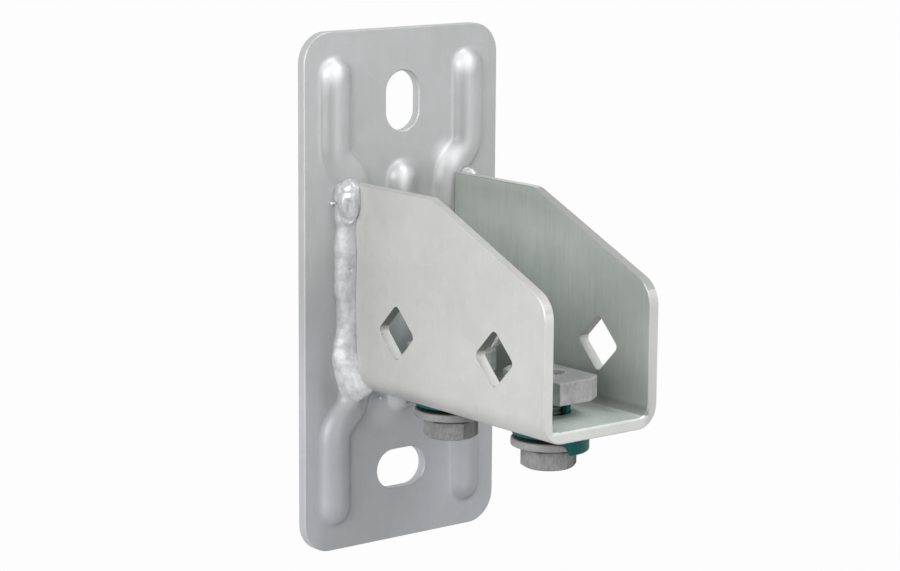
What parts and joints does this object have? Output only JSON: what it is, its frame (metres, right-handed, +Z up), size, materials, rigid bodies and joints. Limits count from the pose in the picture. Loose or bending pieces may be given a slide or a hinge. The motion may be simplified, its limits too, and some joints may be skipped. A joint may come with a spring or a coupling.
{
  "type": "wall bracket for strut rail",
  "caption": "Welded steel wall bracket: a ribbed, slotted wall plate carries a short open-topped channel with tapering sides and quarter-turn bolt clamps that hold a strut rail.",
  "frame": {"origin": "centre of the wall plate's back face, midway between the anchor slots", "axes": "+Z up, +Y into the wall, the channel reaches out towards -Y, +X to the right seen from the front"},
  "size_m": [0.086, 0.1122, 0.186],
  "materials": {
    "plate_zinc": "hot-dip galvanised, satin with a faint spangle",
    "channel_zinc": "hot-dip galvanised, satin, fine streaks along the sheet",
    "weld_zinc": "galvanised weld bead, rippled and shiny",
    "bolt_zinc": "zinc plated, dull grey",
    "washer_zinc": "zinc plated, dull grey",
    "nut_zinc": "zinc flake coated, dull warm grey",
    "retainer_plastic": "moulded, dark teal"
  },
  "bodies": {
    "bracket": {"wall_plate": "plate_zinc", "channel": "channel_zinc", "weld_left": "weld_zinc", "weld_right": "weld_zinc", "retainer_rear": "retainer_plastic", "retainer_front": "retainer_plastic"},
    "clamp_rear": {"bolt_rear": "bolt_zinc", "washer_rear": "washer_zinc", "nut_plate_rear": "nut_zinc"},
    "clamp_front": {"bolt_front": "bolt_zinc", "washer_front": "washer_zinc", "nut_plate_front": "nut_zinc"}
  },
  "joints": [
    {"name": "clamp_rear_turn", "type": "hinge", "parent": "bracket", "child": "clamp_rear", "pos_m": [0, -0.0326, -0.0345], "axis": [0, 0, 1], "range_deg": [0, 90]},
    {"name": "clamp_front_turn", "type": "hinge", "parent": "bracket", "child": "clamp_front", "pos_m": [0, -0.0858, -0.0345], "axis": [0, 0, 1], "range_deg": [0, 90]}
  ]
}
